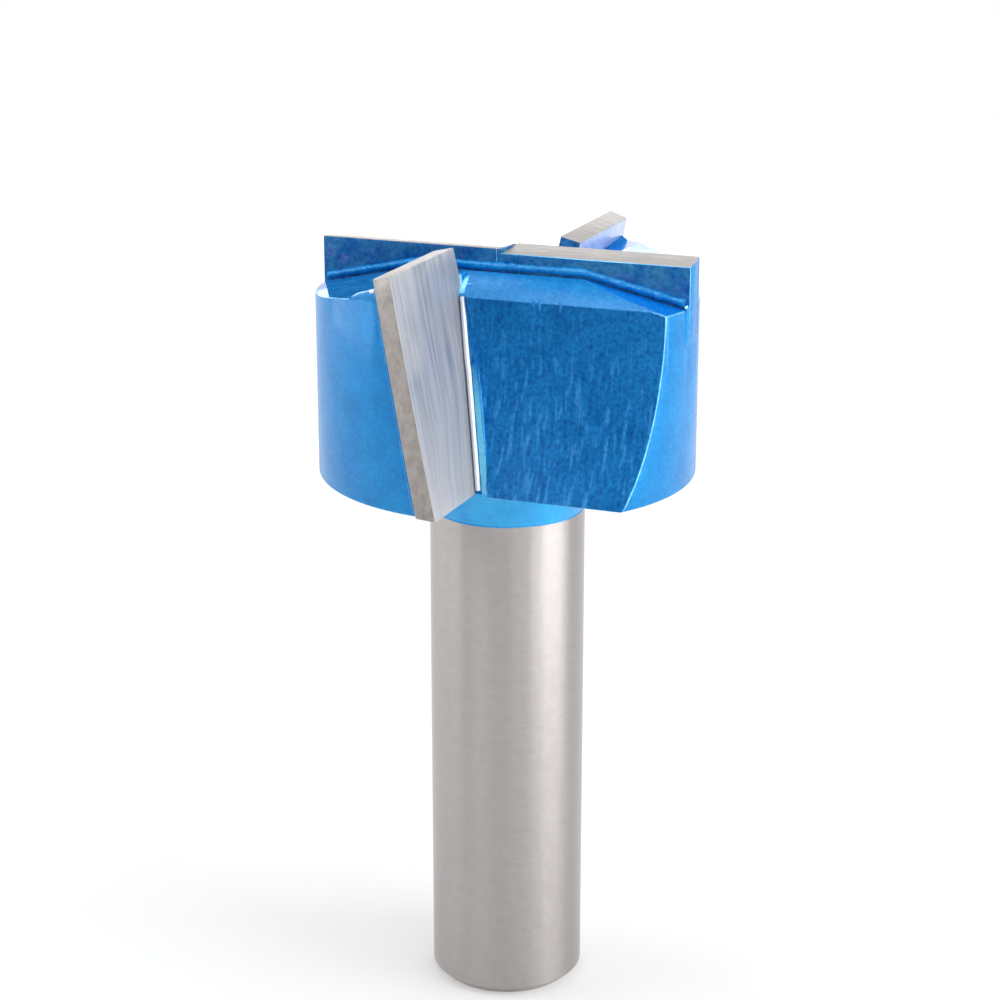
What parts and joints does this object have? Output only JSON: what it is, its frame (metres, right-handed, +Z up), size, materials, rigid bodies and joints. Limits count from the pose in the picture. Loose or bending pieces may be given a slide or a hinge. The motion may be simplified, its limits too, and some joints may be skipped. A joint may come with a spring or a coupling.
{
  "type": "surfacing router bit",
  "caption": "Router bit that planes and clears wide flat surfaces, with brazed carbide side tips and end tips on a painted round head and a plain cylindrical shank",
  "frame": {"origin": "centre of the shank's flat end, which the bit stands on", "axes": "+Z runs up the bit's axis from the shank to the cutting end; +X runs along the end tips; the side tips stand on -Y and +Y"},
  "size_m": [0.0308, 0.0318, 0.0635],
  "materials": {
    "painted_steel_body": "semi-gloss blue paint on the head and neck; the shank below is bare ground steel",
    "ground_carbide": "bare ground carbide with fine grinding lines",
    "painted_carbide": "carbide under thin mottled blue paint, ground bare on top"
  },
  "bodies": {
    "root": {"body": "painted_steel_body", "side_tip_near": "ground_carbide", "side_tip_far": "ground_carbide", "end_tip_left": "painted_carbide", "end_tip_right": "painted_carbide"}
  },
  "joints": []
}
